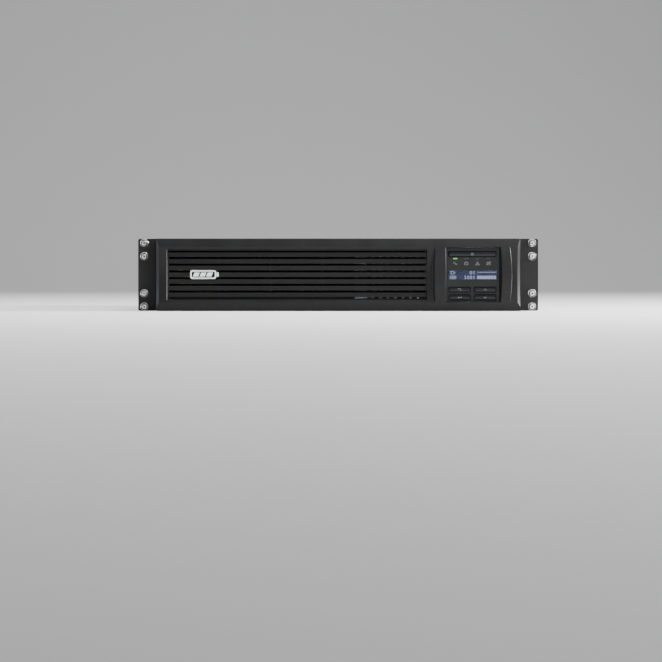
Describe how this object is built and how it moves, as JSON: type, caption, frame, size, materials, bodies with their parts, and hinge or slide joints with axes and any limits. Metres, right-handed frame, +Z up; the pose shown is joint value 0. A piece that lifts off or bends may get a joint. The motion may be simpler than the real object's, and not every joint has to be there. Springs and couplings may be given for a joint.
{
  "type": "rackmount UPS",
  "caption": "Two-unit rackmount battery backup power supply with a louvred front bezel, a display with buttons, rack ears, a slide-out battery cartridge and rear outlets.",
  "frame": {"origin": "on the underside, half-way across, in the plane where the backs of the rack ears meet the rack", "axes": "+Z up, front faces -Y, +X to the right of a person who looks at the front"},
  "size_m": [0.48, 0.478, 0.0865],
  "materials": {
    "case_steel": "fine-textured black powder coat",
    "zinc_steel": "bright zinc plate",
    "nickel_screws": "bright nickel plate",
    "black_screws": "black oxide",
    "bezel_plastic": "fine spark-textured black plastic",
    "badge_white": "satin white",
    "battery_case": "smooth dark grey ABS",
    "brass_contacts": "bright brass",
    "lead_insulation": "red and black insulation",
    "moulded_black": "satin black plastic",
    "moulded_grey": "grey nylon",
    "display_plate": "matte grey-black film",
    "button_plastic": "satin black plastic",
    "circuit_board": "green solder mask",
    "lcd_glass": "clear window",
    "lcd_blue": "blue backlit screen",
    "lamp_green": "lit green light pipe",
    "lamp_dark": "smoked light pipe",
    "laminations": "varnished silicon steel laminations",
    "winding_tape": "yellow insulating tape",
    "fin_aluminium": "extruded aluminium",
    "capacitor_sleeve": "dark blue sleeve",
    "relay_case": "blue case",
    "choke_winding": "enamelled copper",
    "breaker_red": "red button",
    "terminal_green": "green terminal block"
  },
  "bodies": {
    "root": {"chassis_tray": "case_steel", "top_cover": "case_steel", "rear_panel": "case_steel", "left_rack_ear": "case_steel", "right_rack_ear": "case_steel", "front_panel": "zinc_steel", "bay_divider": "zinc_steel", "door_strike": "zinc_steel", "case_screws": "black_screws", "rack_screws": "nickel_screws", "rear_screws": "nickel_screws", "battery_socket": "moulded_grey", "display_housing": "moulded_black", "display_faceplate": "display_plate", "display_circuit_board": "circuit_board", "tactile_switches": "moulded_black", "lcd_lens": "lcd_glass", "lcd_module": "lcd_blue", "status_light_online": "lamp_green", "status_lights_unlit": "lamp_dark", "transformer_core": "laminations", "transformer_coil": "winding_tape", "transformer_bracket": "zinc_steel", "main_circuit_board": "circuit_board", "board_standoffs": "brass_contacts", "heat_sinks": "fin_aluminium", "power_transistors": "moulded_black", "capacitors": "capacitor_sleeve", "relays": "relay_case", "filter_choke": "choke_winding", "fan_frame": "moulded_black", "fan_guard": "nickel_screws", "power_inlet": "moulded_black", "inlet_pins": "brass_contacts", "power_outlets": "moulded_black", "breaker_body": "moulded_black", "accessory_slot_cover": "case_steel", "usb_port": "nickel_screws", "serial_port": "moulded_black", "emergency_off_terminal": "terminal_green"},
    "battery_cartridge": {"battery_tray": "zinc_steel", "battery_blocks": "battery_case", "battery_terminals": "brass_contacts", "battery_leads": "lead_insulation", "battery_handle": "moulded_black", "battery_plug": "moulded_grey"},
    "battery_door": {"battery_door": "case_steel"},
    "bezel": {"front_bezel": "bezel_plastic", "louvre_grille": "bezel_plastic", "bezel_badge": "badge_white", "bezel_ball_studs": "nickel_screws"},
    "lower_thumbscrew": {"lower_thumbscrew": "nickel_screws"},
    "upper_thumbscrew": {"upper_thumbscrew": "nickel_screws"},
    "power_button": {"power_button": "button_plastic"},
    "escape_button": {"escape_button": "button_plastic"},
    "up_button": {"up_button": "button_plastic"},
    "enter_button": {"enter_button": "button_plastic"},
    "down_button": {"down_button": "button_plastic"},
    "fan_rotor": {"fan_rotor": "moulded_black"},
    "breaker_button": {"breaker_button": "breaker_red"}
  },
  "joints": [
    {"name": "cartridge_slide", "type": "slide", "parent": "root", "child": "battery_cartridge", "axis": [0, -1, 0], "range_m": [0, 0.33]},
    {"name": "door_lift_off", "type": "slide", "parent": "battery_cartridge", "child": "battery_door", "axis": [0, -1, 0], "range_m": [0, 0.06]},
    {"name": "bezel_pull_off", "type": "slide", "parent": "battery_door", "child": "bezel", "axis": [0, -1, 0], "range_m": [0, 0.05]},
    {"name": "lower_thumbscrew_turn", "type": "hinge", "parent": "battery_door", "child": "lower_thumbscrew", "pos_m": [-0.2088, -0.0042, 0.026], "axis": [0, 1, 0], "continuous": true},
    {"name": "upper_thumbscrew_turn", "type": "hinge", "parent": "battery_door", "child": "upper_thumbscrew", "pos_m": [-0.2088, -0.0042, 0.0605], "axis": [0, 1, 0], "continuous": true},
    {"name": "power_press", "type": "slide", "parent": "root", "child": "power_button", "axis": [0, 1, 0], "range_m": [0, 0.001], "stiffness_N_per_m": 400, "springref_m": -0.0006},
    {"name": "escape_press", "type": "slide", "parent": "root", "child": "escape_button", "axis": [0, 1, 0], "range_m": [0, 0.001], "stiffness_N_per_m": 400, "springref_m": -0.0006},
    {"name": "up_press", "type": "slide", "parent": "root", "child": "up_button", "axis": [0, 1, 0], "range_m": [0, 0.001], "stiffness_N_per_m": 400, "springref_m": -0.0006},
    {"name": "enter_press", "type": "slide", "parent": "root", "child": "enter_button", "axis": [0, 1, 0], "range_m": [0, 0.001], "stiffness_N_per_m": 400, "springref_m": -0.0006},
    {"name": "down_press", "type": "slide", "parent": "root", "child": "down_button", "axis": [0, 1, 0], "range_m": [0, 0.001], "stiffness_N_per_m": 400, "springref_m": -0.0006},
    {"name": "fan_spin", "type": "hinge", "parent": "root", "child": "fan_rotor", "pos_m": [0.165, 0.42, 0.04325], "axis": [0, 1, 0], "continuous": true},
    {"name": "breaker_trip", "type": "slide", "parent": "root", "child": "breaker_button", "axis": [0, 1, 0], "range_m": [0, 0.004]}
  ]
}
